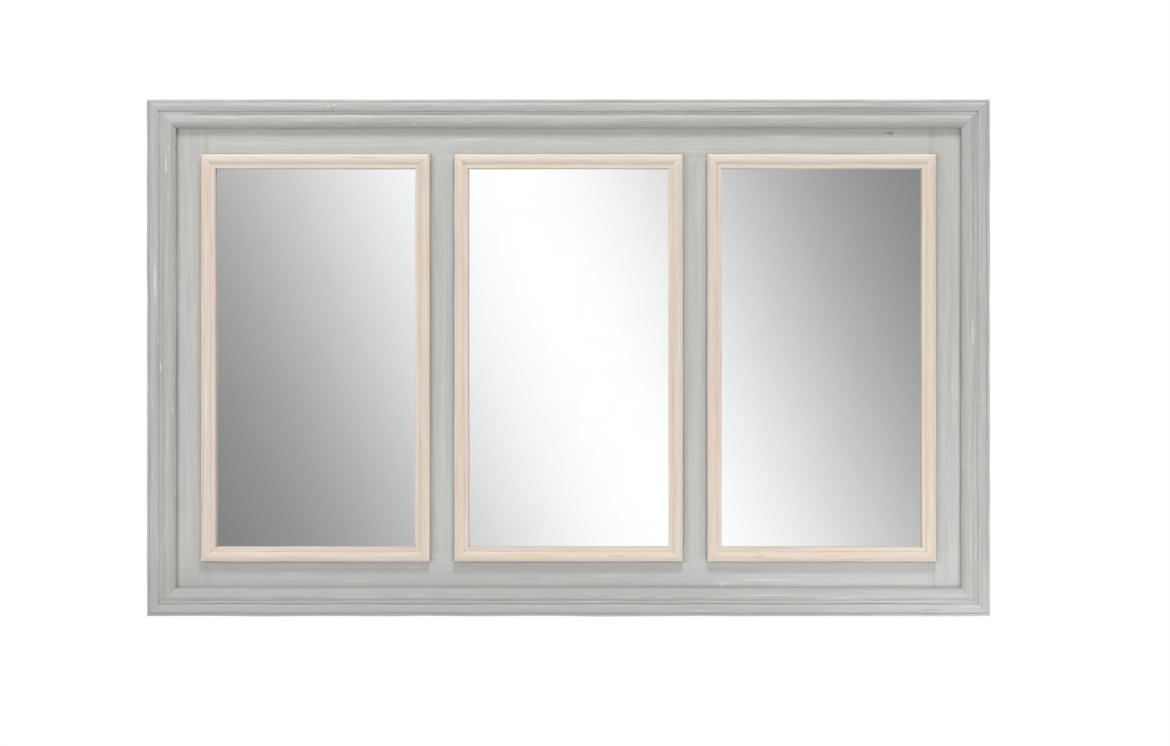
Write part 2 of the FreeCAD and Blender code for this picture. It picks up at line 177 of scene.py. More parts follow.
class BeadSizes(PropertyGroup):
    """Section of the bead round a pane, with heights from the field."""

    edge_round: length("Edge round", "Radius of the eased outer front edge", 0.8)
    lip_width: length("Lip width", "Flat lip along the outer edge", 1.2)
    lip_height: length("Lip height", "Front of the lip", 8.6)
    foot_height: length("Foot height", "Where the rounded band starts", 9.0)
    ridge_offset: length("Ridge offset", "From the outer edge to the ridge", 8.0)
    inner_foot_height: length("Inner foot height", "Where the rounded band ends", 8.4)
    groove_width: length("Groove width", "Groove between band and inner lip", 0.7)
    groove_height: length("Groove height", "Floor of the groove", 7.7)
    inner_lip_width: length("Inner lip width", "Lip that holds the pane", 6.2)
    inner_lip_height: length("Inner lip height", "Front of that lip", 8.1)
    softening: length("Softening", "How far sanding rounds the edges", 0.2)
    waviness: length("Waviness", "How far hand finishing moves the lines", 0.12)
    level_fill: share("Level fill", "How far lime fills the grooves at top and bottom", 0.9)
    upright_fill: share("Upright fill", "How far lime fills the grooves at the sides", 0.6)
    outline_step: length("Outline step", "Mesh spacing round the section where it is flat", 1.6)
    ring_step: length("Ring step", "Mesh spacing along the bar", 3.5)


class WashedPaint(PropertyGroup):
    """Colours of the grey wash and of the pine under it."""

    body: colour("Body", "The wash where it lies evenly", "#C2C3C0")
    green: colour("Green tint", "The wash where it turns greenish", "#BFC2BA")
    cool: colour("Cool tint", "The wash where it turns bluish", "#C4C3C4")
    pale: colour("Pale", "Chalky streaks and rubbed ridges", "#DCDDDA")
    # Also painted shade on the moulding's inner slope, low down on the left and on the side mouldings
    shade: colour("Shade", "The wash where it gathers", "#A5A6A3")
    groove: colour("Groove", "The wash in the grooves", "#8C8D88")
    # Painted shade on the field along the beads and the moulding and at the moulding's sight edge; also the
    # tone of the dark marks
    edge: colour("Edge", "Old wash and dust along the beads and the moulding", "#7E7E79")
    pine: colour("Pine", "Bare pine on the back", "#D2B48C")
    pine_dark: colour("Pine grain", "Late wood of the bare pine", "#B9936A")


class LimedPine(PropertyGroup):
    """Colours of the limed pine beads."""

    body: colour("Body", "Limed wood where it is even", "#D7CBBE")
    cream: colour("Cream", "Pale streaks where lime fills the grain", "#E6DCD1")
    pink: colour("Pink", "Pinkish streaks", "#DDC3B9")
    straw: colour("Straw", "Yellowish streaks", "#DDCFB0")
    brown: colour("Brown", "Flecks and lines where wood shows through", "#AE8D74")
    # Painted shade with some dust at the foot of each bead
    dust: colour("Dust", "Dull line where the bead meets the glass and the field", "#75695D")


class HiddenParts(PropertyGroup):
    """Colours of glass, board, steel, dowels and felt."""

    silver: colour("Silver", "Silvering seen through the glass", "#FAFBFB")
    hardboard: colour("Hardboard", "Pressed fibre board", "#7A5A40")
    hardboard_fibre: colour("Hardboard fibre", "Paler fibres in the board", "#98754F")
    zinc: colour("Zinc", "Bright zinc plate", "#D3D5D6")
    zinc_dull: colour("Dull zinc", "Where the plate has dulled", "#A6A8A8")
    beech: colour("Beech", "Dowel wood", "#D3AC7E")
    beech_fleck: colour("Beech fleck", "Short darker flecks of the beech", "#A97B50")
    felt: colour("Felt", "Pressed felt", "#4C4A48")
    felt_fibre: colour("Felt fibre", "Paler fibres in the felt", "#76736F")


class StudioSettings(PropertyGroup):
    """Camera, lamps and surroundings."""

    camera_x: distance("Camera across", "The camera stands this far right of the middle", 0.126)
    camera_distance: distance("Camera distance", "From the wall plane to the camera", 3.0, min=0.5)
    key_strip: power("Key strip", "Lamp high in front of the mirror", 148.0)
    left_fill: power("Left fill", "Broad lamp at the front left", 29.0)
    back_fill: power("Back fill", "Broad lamp behind the mirror", 34.0)
    low_fill: power("Low fill", "Small lamp at the lower right", 3.2)
    ambient: number("Ambient", "Light from all round, where 1 is white", 0.462, min=0.0)
    floor_drop: distance("Floor drop", "From the mirror's middle down to the floor", 0.9, min=0.42)
    floor_radius: distance("Floor radius", "Radius of the round floor", 1.38, min=0.5)
    floor_fade: distance("Floor fade", "Radius at which the floor starts to fade to white", 0.45, min=0.1)
    card_radius: distance("Card radius", "Radius of the curved card that the panes reflect", 3.2, min=1.0)
    card_top: distance("Card top", "Top of the card above the mirror's middle", 3.4, min=0.5)
    card_foot: distance("Card foot", "Below the mirror's middle, where the card starts to whiten", 0.68)
    card_peak: number("Card peak", "Brightness at the middle of a white band", 1.044, min=0.0)
    card_low: number("Card low", "Brightness far from the white bands", 0.187, min=0.0)
    card_band: distance("Card band", "From the middle of a band to where its light is 1 / e", 0.84, min=0.1)
    card_period: distance("Card period", "Distance from white band to white band", 3.2, min=0.5)
    card_slope: number("Card slope", "How far the bands lean sideways per metre of height", 0.4516)
    card_offset: distance("Card offset", "Place of the middle band at the height of the camera", -0.0697)
    seed: IntProperty(name="Seed", description="Start of the random draws for dents and waves", default=7)


def ticks_along(span):
    """Shares from 0 up to but not with 1, one for each outline step of a span."""
    outline_step = 0.05 * MM
    return np.linspace(0, 1, max(2, int(abs(span) / outline_step)), endpoint=False)


def straight(start, end):
    """Points of a straight run, as complex numbers, inward + i forward, without its end."""
    return start + (end - start) * ticks_along(end - start)


def dome(start, end):
    """Points of an arc that is level at the higher of its ends, without its end point.
    The centre lies below that ridge by (run squared + rise squared) / (2 rise)."""
    ridge, foot = (end, start) if end.imag > start.imag else (start, end)
    run = ridge.real - foot.real
    rise = ridge.imag - foot.imag
    centre = ridge - 1j * (run * run + rise * rise) / (2 * rise)
    turn = np.angle((end - centre) / (start - centre))
    return centre + (start - centre) * np.exp(1j * turn * ticks_along(end - start))


def trace(start, steps):
    """A closed outline from its start through steps of (inward, forward), with dome for an arc."""
    runs = []
    here = complex(*start)
    for inward, forward, *arc in (*steps, start):
        there = complex(inward, forward)
        runs.append(dome(here, there) if arc else straight(here, there))
        here = there
    return np.concatenate(runs)


def softened(outline, reach):
    """A closed outline blurred by a Gaussian of that reach along its length: each harmonic is
    multiplied by exp(-(k reach) squared / 2)."""
    perimeter = np.abs(np.diff(np.append(outline, outline[0]))).sum()
    turns = np.fft.fftfreq(len(outline), 1 / len(outline))
    wave_number = 2 * math.pi * turns / perimeter
    return np.fft.ifft(np.fft.fft(outline) * np.exp(-(wave_number * reach) ** 2 / 2))


def section_points(outline, sizes):
    """Points of the softened section, the way out at each, and how proud each stands in mm.
    Points crowd where the outline bends: their density is 1 / outline step + curvature / turn step.
    The relief is the distance along the way out from the same outline blurred much further."""
    turn_step = 0.26
    relief_reach = 2.6 * MM
    soft = softened(outline, sizes.softening)
    blurred = softened(outline, relief_reach)
    tangent = np.roll(soft, -1) - soft
    bend = np.abs(np.angle(tangent / np.roll(tangent, 1)))
    normal = 1j * tangent / np.abs(tangent)
    relief = np.real((soft - blurred) * np.conj(normal)) / MM
    total = np.cumsum(np.abs(tangent) / sizes.outline_step + bend / turn_step)
    count = int(total[-1])
    picked = np.searchsorted(total, (np.arange(count) + 0.5) * total[-1] / count)
    return soft[picked], normal[picked], relief[picked]


def moulding_outline(sizes):
    """Outline of the outer moulding: lip, quirk, wide band, fillet between two grooves, cushion."""
    width = TOP_HIGH.z - TOP_LOW.z
    band_start = sizes.lip_width + sizes.quirk_width
    band_end = band_start + sizes.band_width
    fillet_start = band_end + sizes.groove_width
    fillet_end = fillet_start + sizes.fillet_width
    cushion_start = fillet_end + sizes.groove_width
    return trace((0, 0), [
        (0, sizes.lip_height - sizes.edge_round),
        (sizes.edge_round, sizes.lip_height, dome),
        (sizes.lip_width, sizes.lip_height),
        (sizes.lip_width, sizes.quirk_height),
        (band_start, sizes.quirk_height),
        (band_start, sizes.band_foot_height),
        (band_start + sizes.band_ridge_offset, TOP_HIGH.y - TOP_LOW.y, dome),
        (band_end, sizes.band_end_height, dome),
        (band_end, sizes.groove_height),
        (fillet_start, sizes.groove_height),
        (fillet_start, sizes.fillet_height),
        (fillet_end, sizes.fillet_height),
        (fillet_end, sizes.groove_height),
        (cushion_start, sizes.groove_height),
        (cushion_start, sizes.cushion_foot_height),
        (cushion_start + sizes.cushion_ridge_offset, sizes.cushion_height, dome),
        (width, sizes.sight_height, dome),
        (width, sizes.rebate_height),
        (width - sizes.rebate_width, sizes.rebate_height),
        (width - sizes.rebate_width, 0),
    ])


def bead_outline(sizes):
    """Outline of a bead: narrow lip, wide rounded band, groove and inner lip."""
    width = BEAD_HIGH.z - BEAD_LOW.z
    lip_start = width - sizes.inner_lip_width
    groove_start = lip_start - sizes.groove_width
    return trace((0, 0), [
        (0, sizes.lip_height - sizes.edge_round),
        (sizes.edge_round, sizes.lip_height, dome),
        (sizes.lip_width, sizes.lip_height),
        (sizes.lip_width, sizes.foot_height),
        (sizes.ridge_offset, BEAD_HIGH.y - BEAD_LOW.y, dome),
        (groove_start, sizes.inner_foot_height, dome),
        (groove_start, sizes.groove_height),
        (lip_start, sizes.groove_height),
        (lip_start, sizes.inner_lip_height),
        (width, sizes.inner_lip_height),
        (width, 0),
    ])


def waves(draw, along, across, long_wave, wide_wave):
    """Smooth noise of about unit size: a sum of plane waves whose directions and phases are drawn
    from a seeded generator. One hump is about long_wave by wide_wave, in millimetres."""
    count = 14
    total = 0
    for _ in range(count):
        first, second = draw.normal(size=2)
        phase = draw.uniform(0, 2 * math.pi)
        turns = first * along / (long_wave * MM) + second * across / (wide_wave * MM)
        total = total + np.sin(2 * math.pi * turns + phase)
    return total * math.sqrt(2 / count)


def eased(value, low, high):
    """Smooth step from 0 at low to 1 at high."""
    part = np.clip((value - low) / (high - low), 0, 1)
    return part * part * (3 - 2 * part)


def bar_shares(bar_length, ring_step):
    """Shares of the length where the section is repeated: four close to each mitre, then even."""
    ends = np.array([0.0, 0.35 * MM, 0.9 * MM, 2.0 * MM]) / bar_length
    count = int(bar_length / ring_step)
    middle = np.linspace(ends[-1], 1 - ends[-1], count)[1:-1]
    return np.concatenate([ends, middle, 1 - ends[::-1]])


def dents(draw, along, inward, bar_length):
    """Depth of small dents scattered over a bar, each a Gaussian dip, longer than it is wide."""
    dent_spacing = 45 * MM
    total = 0
    for _ in range(int(bar_length / dent_spacing)):
        place = draw.uniform(-bar_length / 2, bar_length / 2)
        across = draw.uniform(0, inward.max())
        long_reach = draw.uniform(1.5, 7.0) * MM
        wide_reach = draw.uniform(0.6, 1.8) * MM
        depth = draw.uniform(0.1, 0.45) * MM
        spread = ((along - place) / long_reach) ** 2 + ((inward - across) / wide_reach) ** 2
        total = total + depth * np.exp(-spread / 2)
    return total


def mitred_bar(section, bar_length, sizes, filling, front_height, draw):
    """A bar along X with its outer edge at height 0 and both ends mitred, as a grid of points.
    A ring at share t lies at x = (2 t - 1) (half length - inward). Smooth waves shift the lines,
    the finish fills the grooves and rubbing lowers the ridges, both in stretches, and small dents
    dip. All of it fades out before a mitre, where the sharp corner is worn down."""
    mitre_gap = 0.06 * MM
    worn_depth, worn_length = 0.16 * MM, 0.8 * MM
    fade_out, front_depth = 12 * MM, 4 * MM
    line_wave, fill_wave, rub_wave, fine_wave = (190, 40), (110, 16), (80, 16), (45, 9)
    fill_spread, rub_mean, rub_spread, uneven = 0.3, 0.5, 0.35, 0.35
    most_relief, fill_rise, rub_drop, relief_lost = 2, 0.8 * MM, 0.16 * MM, 0.5
    outline, normal, relief = section
    shares = bar_shares(bar_length, sizes.ring_step)[:, None]
    inward = outline.real[None, :]
    forward = outline.imag[None, :]
    half = bar_length / 2 - inward - mitre_gap
    along = (2 * shares - 1) * half
    to_end = np.minimum(shares, 1 - shares) * 2 * half
    fade = eased(to_end, 0, fade_out) * eased(forward, front_height - front_depth, front_height)
    sideways = waves(draw, along, inward, *line_wave) * sizes.waviness
    fill = np.clip(filling + fill_spread * waves(draw, along, inward, *fill_wave), 0, 1)
    rub = np.clip(rub_mean + rub_spread * waves(draw, along, inward, *rub_wave), 0, 1)
    lift = fill * np.clip(-relief, 0, most_relief) * fill_rise
    lift = lift - rub * np.clip(relief, 0, most_relief) * rub_drop
    lift = lift + waves(draw, along, inward, *fine_wave) * sizes.waviness * uneven
    lift = lift - dents(draw, along, inward, bar_length)
    worn = worn_depth * (1 - eased(to_end, 0, worn_length))
    shape = outline[None, :] + fade * (sideways + 1j * lift) - worn * normal[None, :]
    tone = relief[None, :] * (1 - relief_lost * fade * fill)
    return along, shape, tone


def mesh_from_grid(name, points, relief):
    """A closed tube from a grid of points, rings by places round the ring, with a cap at each end
    and a sharp edge round each cap. Seen along the tube, the places run clockwise, and so the faces
    look outwards. The relief goes into a point attribute."""
    rings, around = points.shape[:2]
    index = np.arange(rings * around).reshape(rings, around)
    following = np.roll(index, -1, axis=1)
    quads = np.stack([following[:-1], following[1:], index[1:], index[:-1]], axis=-1).reshape(-1, 4)
    flat = points.reshape(-1, 3)
    loops = np.concatenate([quads.ravel(), index[0][::-1], index[-1]])
    starts = np.concatenate([np.arange(len(quads)) * 4, len(quads) * 4 + np.array([0, around])])
    mesh = bpy.data.meshes.new(name)
    mesh.vertices.add(len(flat))
    mesh.vertices.foreach_set("co", flat.astype(np.float32).ravel())
    mesh.loops.add(len(loops))
    mesh.loops.foreach_set("vertex_index", loops.astype(np.int32))
    mesh.polygons.add(len(starts))
    mesh.polygons.foreach_set("loop_start", starts.astype(np.int32))
    mesh.update(calc_edges=True)
    mesh.polygons.foreach_set("use_smooth", np.arange(len(starts)) < len(quads))
    edges = np.zeros(len(mesh.edges) * 2, np.int32)
    mesh.edges.foreach_get("vertices", edges)
    ring_sum = (edges.reshape(-1, 2) // around).sum(axis=1)
    sharp = mesh.attributes.new("sharp_edge", "BOOLEAN", "EDGE")
    sharp.data.foreach_set("value", np.isin(ring_sum, (0, 2 * (rings - 1))))
    proud = mesh.attributes.new("relief", "FLOAT", "POINT")
    proud.data.foreach_set("value", relief.astype(np.float32).ravel())
    mesh.validate()
    return mesh


def add_object(name, data):
    """A new object in the scene."""
    made = bpy.data.objects.new(name, data)
    bpy.context.scene.collection.objects.link(made)
    return made


def add_bars(pattern, finish, rectangle, back_y, section, sizes, front_height, materials, seeds):
    """Four mitred bars round a rectangle, each in place of its CAD node. A bar made for the top
    goes to its side by quarter turns of (x + i z)."""
    half_across, half_up, centre_x = rectangle
    for turns, side in enumerate(SIDES):
        upright = side in ("left", "right")
        reach, half_length = (half_across, half_up) if upright else (half_up, half_across)
        draw = np.random.default_rng((*seeds, turns))
        filling = sizes.upright_fill if upright else sizes.level_fill
        along, shape, relief = mitred_bar(section, 2 * half_length, sizes, filling, front_height, draw)
        turned = (along + 1j * (reach - shape.real)) * (-1j) ** turns + centre_x
        points = np.stack([turned.real, back_y - shape.imag, turned.imag], axis=-1)
        node = pattern.format(side)
        name = node + "_" + finish
        mesh = mesh_from_grid(name, points, relief)
        mesh.materials.append(materials[upright])
        piece = add_object(name, mesh)
        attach(piece, "frame")
        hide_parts(node)


def add(tree, kind, inputs=(), operation=None, out=0, **settings):
    """Adds a shader node, sets its operation and other properties, fills its inputs in order or by
    name, a socket by a link and the rest by value, and returns one of its outputs."""
    made = tree.nodes.new("ShaderNode" + kind)
    if operation:
        made.operation = operation
    for key, value in settings.items():
        setattr(made, key, value)
    for key, value in inputs.items() if isinstance(inputs, dict) else enumerate(inputs):
        if isinstance(value, bpy.types.NodeSocket):
            tree.links.new(value, made.inputs[key])
        else:
            made.inputs[key].default_value = value
    return made.outputs[out] if made.outputs else made


def new_material(name):
    """A material, its node tree, and the object coordinates in metres that start the tree."""
    material = bpy.data.materials.new(name)
    material.use_nodes = True
    tree = material.node_tree
    tree.nodes.clear()
    return material, tree, add(tree, "TexCoord", out="Object")


def close_material(tree, tone, roughness, height, relief_mm, strength, **shader_inputs):
    """Ends a material with its colour, roughness and bump. Roughness is a value, its low and high,
    and how rough the surface is at each, and relief_mm is the bump's height."""
    bump = add(tree, "Bump", {"Height": height, "Distance": relief_mm * MM, "Strength": strength})
    named = {key.replace("_", " "): value for key, value in shader_inputs.items()}
    rough = add(tree, "MapRange", roughness)
    named.update({"Base Color": tone, "Roughness": rough, "Normal": bump})
    shader = add(tree, "BsdfPrincipled", named)
    add(tree, "OutputMaterial", {"Surface": shader})


def coated(tree, base, *coats):
    """A colour with coats laid over it in turn, each a tone and the share that it covers."""
    for tone, covered in coats:
        base = add(tree, "Mix", {0: covered, 6: base, 7: tone}, out=2, data_type="RGBA")
    return base


def eased_share(tree, value, low, high, most=1.0, broken_by=1.0):
    """From 0 where a value lies at low, eased to the share most at high, times another share."""
    risen = add(tree, "MapRange", (value, low, high, 0, most), interpolation_type="SMOOTHSTEP")
    return add(tree, "Math", (risen, broken_by), "MULTIPLY")


def grain_axes(tree, place, upright):
    """The place as (along the grain, across it, forward to back), and its X, Y and Z."""
    axes = add(tree, "SeparateXYZ", (place,)).node.outputs
    along, across = (axes[2], axes[0]) if upright else (axes[0], axes[2])
    return add(tree, "CombineXYZ", (along, across, axes[1])), axes


def streaks(tree, grain, long, wide, detail, seed, low, high, most=1.0, least=0.0):
    """Noise drawn out along the grain, one streak about long by wide in millimetres, as a share
    that is least where the noise is under low and most where it is over high."""
    scale = (1 / (long * MM), 1 / (wide * MM), 1 / (wide * MM))
    stretched = add(tree, "Mapping", {"Vector": grain, "Location": (seed, seed, seed), "Scale": scale})
    noise = add(tree, "TexNoise", {"Vector": stretched, "Scale": 1.0, "Detail": detail})
    return add(tree, "MapRange", (noise, low, high, least, most))


def marked(tree, axes, base, marks, tone, strength, break_up):
    """A colour with single marks of another over it. A mark fades from the middle of an ellipse in X
    and Z to its edge, as a smooth step of the squared distance, and is broken up by the grain."""
    thinnest = 0.45 * strength
    broken = add(tree, "MapRange", (break_up, 0, 1, thinnest, strength))
    for across, up, half_width, half_height in marks:
        parts = []
        for axis, middle, half in ((axes[0], across, half_width), (axes[2], up, half_height)):
            moved = add(tree, "Math", (axis, middle * MM), "SUBTRACT")
            part = add(tree, "Math", (moved, half * MM), "DIVIDE")
            parts.append(add(tree, "Math", (part, part), "MULTIPLY"))
        squared = add(tree, "Math", (parts[0], parts[1]), "ADD")
        base = coated(tree, base, (tone, eased_share(tree, squared, 1.0, 0.0, broken_by=broken)))
    return base


def distance_to_trim(tree, axes):
    """Distance on the field to the nearest bead or the moulding, which places painted shade. With x folded
    onto the nearest pane, a bead is as far as the greater of |x| - half width and |z| - half height. The
    moulding is as far as the lesser of what is left to its edges. Its top and bottom count as further, so
    less shade lies there."""
    shade_set_back = 3 * MM
    up = add(tree, "Math", (axes[2],), "ABSOLUTE")
    across = add(tree, "Math", (axes[0],), "ABSOLUTE")
    outer = add(tree, "Math", (across, PANE_PITCH / 2), "GREATER_THAN")
    folded = add(tree, "Math", (outer, -PANE_PITCH, across), "MULTIPLY_ADD")
    folded = add(tree, "Math", (folded,), "ABSOLUTE")
    beside = add(tree, "Math", (folded, BEAD_HIGH.x), "SUBTRACT")
    above = add(tree, "Math", (up, BEAD_HIGH.z), "SUBTRACT")
    bead = add(tree, "Math", (beside, above), "MAXIMUM")
    beside = add(tree, "Math", (SIGHT_X, across), "SUBTRACT")
    above = add(tree, "Math", (TOP_LOW.z + shade_set_back, up), "SUBTRACT")
    moulding = add(tree, "Math", (beside, above), "MINIMUM")
    return add(tree, "Math", (bead, moulding), "MINIMUM")


def washed_pine(name, paint, upright, contrast, shade_cover, back_y, pale_marks=(), dark_marks_and_shade=(), sight=None):
    """Pine under a brushed grey wash, rubbed back by hand. The eye gets long chalky brush marks,
    paler ridges, darker grooves, open grain, scuffs, and bare pine at the back, where the wash ends
    in a ragged edge, with painted shade along the beads and the moulding and low down on the left.
    Sight is how far a moulding's inner edge lies from the middle, contrast how strongly the marks
    show, and shade_cover how far the shade tone covers the wash, on the side mouldings as painted shade."""
    material, tree, place = new_material(name)
    grain, axes = grain_axes(tree, place, upright)
    relief = add(tree, "Attribute", out="Fac", attribute_name="relief")

    # Broad tints, brush strokes and fine bristle marks, light and dark
    tint = streaks(tree, grain, 900, 420, detail=1, seed=5.3, low=0.38, high=0.62)
    stroke = streaks(tree, grain, 380, 13, detail=2, seed=7.1, low=0.32, high=0.68)
    bristle = streaks(tree, grain, 130, 2.6, detail=3, seed=3.7, low=0.3, high=0.7)
    stroke_tone = coated(tree, paint.shade, (paint.pale, stroke))
    bristle_tone = coated(tree, paint.shade, (paint.pale, bristle))
    base = coated(tree, paint.green, (paint.cool, tint), (paint.body, 0.45), (paint.shade, shade_cover),
                  (stroke_tone, 0.16 * contrast), (bristle_tone, 0.2 * contrast))

    # Wash gathers in the grooves and wears off the ridges, both in stretches
    patchy = streaks(tree, grain, 90, 12, detail=2, seed=17.9, low=0.3, high=0.7, least=0.35)
    worn = streaks(tree, grain, 110, 4, detail=3, seed=29.3, low=0.46, high=0.64)
    groove = eased_share(tree, relief, -0.15, -1.3, most=0.34 - 0.2 * shade_cover, broken_by=patchy)
    ridge = eased_share(tree, relief, 0.03, 0.5, most=0.48, broken_by=worn)
    base = coated(tree, base, (paint.groove, groove), (paint.pale, ridge))

    # Painted shade on the moulding's inner slope and along its sight edge, and on the field along the beads
    # and the moulding
    if sight:
        across = add(tree, "Math", (axes[0] if upright else axes[2],), "ABSOLUTE")
        inner = eased_share(tree, across, sight + 12 * MM, sight + 2 * MM, most=0.32)
        edge = eased_share(tree, across, sight + 4 * MM, sight, most=0.5 * (1 - shade_cover))
        base = coated(tree, base, (paint.shade, inner), (paint.edge, edge))
    else:
        # Painted shade on the field along the beads and the moulding
        beside = eased_share(tree, distance_to_trim(tree, axes), 4.2 * MM, 0.0, most=0.62, broken_by=patchy)
        base = coated(tree, base, (paint.edge, beside))

    # Short chalky scuffs, and open grain drawn wider than real so that it shows
    scuff = streaks(tree, grain, 24, 2.4, detail=2, seed=23.1, low=0.66, high=0.76, most=0.6 * contrast)
    pores = streaks(tree, grain, 30, 1.5, detail=2, seed=31.7, low=0.64, high=0.78, most=0.5 * contrast)
    base = coated(tree, base, (paint.pale, scuff), (paint.shade, pores))
    # Dark marks; on the mouldings also painted shade along the top fillet, in the bottom's outer groove and
    # on the top band's right third
    base = marked(tree, axes, base, dark_marks_and_shade, paint.edge, strength=0.55, break_up=bristle)
    base = marked(tree, axes, base, pale_marks, paint.pale, strength=0.95, break_up=bristle)

    # Painted shade low down, fading out towards the right, and reaching further right on the mouldings
    thin_x, full_x, thin_z, full_z = 0.75 if sight else 0.42, 0.12, -0.27, -0.375
    left = eased_share(tree, axes[0], thin_x, full_x)
    low_left_shade = eased_share(tree, axes[2], thin_z, full_z, most=0.56, broken_by=left)

    # Bare pine at the back, beyond the wash's ragged edge
    ring = streaks(tree, grain, 320, 5, detail=4, seed=41.3, low=0.42, high=0.6)
    pine = coated(tree, paint.pine, (paint.pine_dark, ring))
    ragged = 3 * MM
    depth = add(tree, "Math", (bristle, ragged, axes[1]), "MULTIPLY_ADD")
    bare = add(tree, "MapRange", (depth, back_y - ragged, back_y))
    base = coated(tree, base, (paint.shade, low_left_shade), (pine, bare))

    height = add(tree, "Math", (bristle, pores), "SUBTRACT")
    height = add(tree, "Math", (height, scuff), "ADD")
    close_material(tree, base, (bristle, 0, 1, 0.78, 0.58), height, relief_mm=0.12, strength=0.8,
                   Specular_IOR_Level=0.3)
    return material


def limed_pine(name, limed, upright):
    """Planed pine with lime wiped into the grain. The eye gets cream, pinkish and straw streaks,
    thin brown lines where bare wood shows, thicker lime along the top beads, darker wood in the
    groove, and painted shade with some dust in a dull line where the bead meets the glass and the field."""
    material, tree, place = new_material(name)
    grain, axes = grain_axes(tree, place, upright)
    relief = add(tree, "Attribute", out="Fac", attribute_name="relief")
    pink = streaks(tree, grain, 260, 7, detail=2, seed=2.9, low=0.46, high=0.66, most=0.7)
    straw = streaks(tree, grain, 330, 8, detail=2, seed=13.7, low=0.52, high=0.7, most=0.75)
    cream = streaks(tree, grain, 140, 3, detail=3, seed=19.1, low=0.44, high=0.7, most=0.6)
    lines = streaks(tree, grain, 75, 1.5, detail=2, seed=37.3, low=0.6, high=0.8, most=0.55)
    high = add(tree, "MapRange", (axes[2], BEAD_LOW.z, BEAD_LOW.z + 8 * MM, 0, 0.5))
    groove = eased_share(tree, relief, -0.1, -0.9, most=0.12)
    # Painted shade with some dust: a dark band at the foot of each bead, by the glass and the field
    dust = add(tree, "MapRange", (axes[1], GLASS_Y - 2.6 * MM, GLASS_Y - 0.4 * MM, 0, 0.75))
    base = coated(tree, limed.body, (limed.pink, pink), (limed.straw, straw), (limed.cream, cream),
                  (limed.cream, high), (limed.brown, lines), (limed.brown, groove), (limed.dust, dust))
    base = marked(tree, axes, base, BROWN_MARKS_ON_BEADS, limed.brown, strength=0.8, break_up=straw)
    base = marked(tree, axes, base, CREAM_MARKS_ON_BEADS, limed.cream, strength=0.8, break_up=straw)
    height = add(tree, "Math", (cream, lines), "SUBTRACT")
    close_material(tree, base, (cream, 0, 1, 0.55, 0.72), height, relief_mm=0.1, strength=0.7,
                   Specular_IOR_Level=0.35)
    return material


def silvered_glass(name, colours):
    """Float glass silvered on its back, wiped clean. The eye gets a clear reflection, a trace of
    wiping marks in it, and the slight waviness of a large sheet."""
    material, tree, place = new_material(name)
    smear = add(tree, "TexNoise", {"Vector": place, "Scale": 1 / (111 * MM), "Detail": 4.0,
                                   "Distortion": 1.5})
    sheet = add(tree, "TexNoise", {"Vector": place, "Scale": 1 / (455 * MM), "Detail": 0.0})
    dust = add(tree, "MapRange", (smear, 0.4, 0.9, 1.0, 0.97))
    tone = add(tree, "VectorMath", {0: colours.silver[:3], "Scale": dust}, "SCALE")
    close_material(tree, tone, (smear, 0.45, 0.8, 0.0, 0.025), sheet, relief_mm=0.1, strength=1.0,
                   Metallic=1.0)
    return material


def pressed_hardboard(name, colours):
    """Pressed fibre board, smooth side out. The eye gets a brown field of short crossed fibres."""
    material, tree, place = new_material(name)
    fibre = add(tree, "TexNoise", {"Vector": place, "Scale": 1 / (4 * MM), "Detail": 5.0, "Roughness": 0.7,
                                   "Distortion": 2.0})
    cloud = add(tree, "TexNoise", {"Vector": place, "Scale": 1 / (160 * MM), "Detail": 2.0})
    calm = add(tree, "MapRange", (cloud, 0, 1, 0.85, 1.15))
    mixed = add(tree, "Math", (fibre, calm), "MULTIPLY")
    pale = add(tree, "MapRange", (mixed, 0.36, 0.64))
    base = coated(tree, colours.hardboard, (colours.hardboard_fibre, pale))
    close_material(tree, base, (fibre, 0, 1, 0.5, 0.75), fibre, relief_mm=0.08, strength=0.6)
    return material


def bright_zinc(name, colours):
    """Steel with bright zinc plate. The eye gets a soft metal gloss with dull patches and fine
    rolling marks."""
    material, tree, place = new_material(name)
    patch = add(tree, "TexNoise", {"Vector": place, "Scale": 1 / (7 * MM), "Detail": 4.0})
    dull = add(tree, "MapRange", (patch, 0.38, 0.66))
    width, length_along = 0.5 * MM, 12 * MM
    rolled = add(tree, "Mapping", {"Vector": place, "Scale": (1 / width, 1 / width, 1 / length_along)})
    marks = add(tree, "TexNoise", {"Vector": rolled, "Scale": 1.0, "Detail": 2.0})
    base = coated(tree, colours.zinc, (colours.zinc_dull, dull))
    close_material(tree, base, (dull, 0, 1, 0.28, 0.46), marks, relief_mm=0.02, strength=0.6, Metallic=1.0)
    return material


def beech_dowel(name, colours):
    """Plain beech dowel stock. The eye gets an even pinkish wood with short dark flecks."""
    material, tree, place = new_material(name)
    grain, _ = grain_axes(tree, place, False)
    fleck = streaks(tree, grain, 3, 0.5, detail=2, seed=3.3, low=0.58, high=0.72)
    base = coated(tree, colours.beech, (colours.beech_fleck, fleck))
    close_material(tree, base, (fleck, 0, 1, 0.5, 0.65), fleck, relief_mm=0.05, strength=0.5)
    return material


